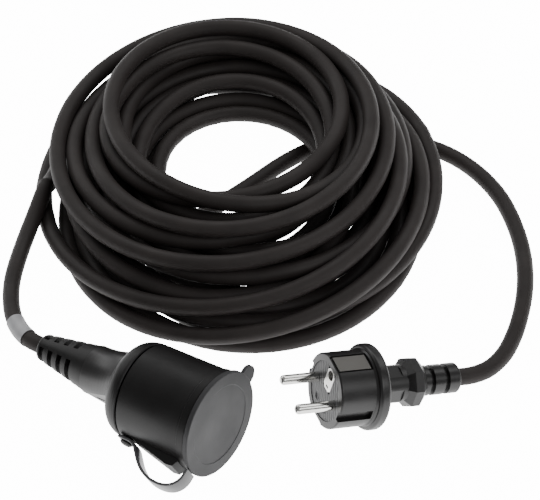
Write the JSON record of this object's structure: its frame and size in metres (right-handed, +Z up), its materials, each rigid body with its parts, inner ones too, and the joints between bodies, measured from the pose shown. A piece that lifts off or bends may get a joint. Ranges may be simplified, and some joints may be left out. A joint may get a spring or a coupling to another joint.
{
  "type": "extension cord",
  "caption": "Earthed rubber extension cord, coiled, with a round moulded plug at one end and a single coupler with a strapped sealing cap at the other.",
  "frame": {"origin": "on the floor under the middle of the coupler's bounding box", "axes": "+X along the floor the way the coupler's mouth points, +Y towards the coil, +Z up"},
  "size_m": [0.2794, 0.2894, 0.0548],
  "materials": {
    "housing_rubber": "matte black moulded rubber with a fine satin sheen",
    "cap_rubber": "matte black rubber, dusty bloom on the flat face",
    "cable_rubber": "matte brown-black rubber sheath",
    "insulator": "matte black moulding",
    "carrier_plastic": "plain cream moulding",
    "nickel": "nickel plated, lightly brushed",
    "spring_metal": "nickel plated spring strip",
    "contact_brass": "plain brass",
    "core_brown": "smooth insulation",
    "core_blue": "smooth insulation",
    "core_green_yellow": "green and yellow striped insulation",
    "label_paper": "light grey wrapped label, blank"
  },
  "bodies": {
    "cord_set": {"coupler_barrel": "housing_rubber", "coupler_shoulder": "housing_rubber", "coupler_neck": "housing_rubber", "coupler_boot": "housing_rubber", "coupler_insert": "insulator", "socket_floor": "insulator", "contact_carrier": "carrier_plastic", "coupler_line_contact": "contact_brass", "coupler_neutral_contact": "contact_brass", "coupler_earth_clip": "spring_metal", "coupler_line_core": "core_brown", "coupler_neutral_core": "core_blue", "coupler_earth_core": "core_green_yellow", "cap_strap": "cap_rubber", "strap_stud": "cap_rubber", "plug_body": "housing_rubber", "plug_bridge": "insulator", "line_pin": "nickel", "neutral_pin": "nickel", "plug_earth_clips": "spring_metal", "plug_earth_socket": "nickel", "plug_line_core": "core_brown", "plug_neutral_core": "core_blue", "plug_earth_core": "core_green_yellow", "plug_grip": "housing_rubber", "plug_boot": "housing_rubber", "cable_coil": "cable_rubber", "cable_lead_coupler": "cable_rubber", "cable_lead_crossing": "cable_rubber", "cable_lead_plug": "cable_rubber", "cable_label": "label_paper"},
    "cap": {"sealing_cap": "cap_rubber"}
  },
  "joints": [
    {"name": "cap_hinge", "type": "hinge", "parent": "cord_set", "child": "cap", "pos_m": [0.05239, -0.02031, 0.0194], "axis": [0.1206, 0.3827, -0.916], "range_deg": [0, 85], "deforming": ["cap_strap"]}
  ]
}
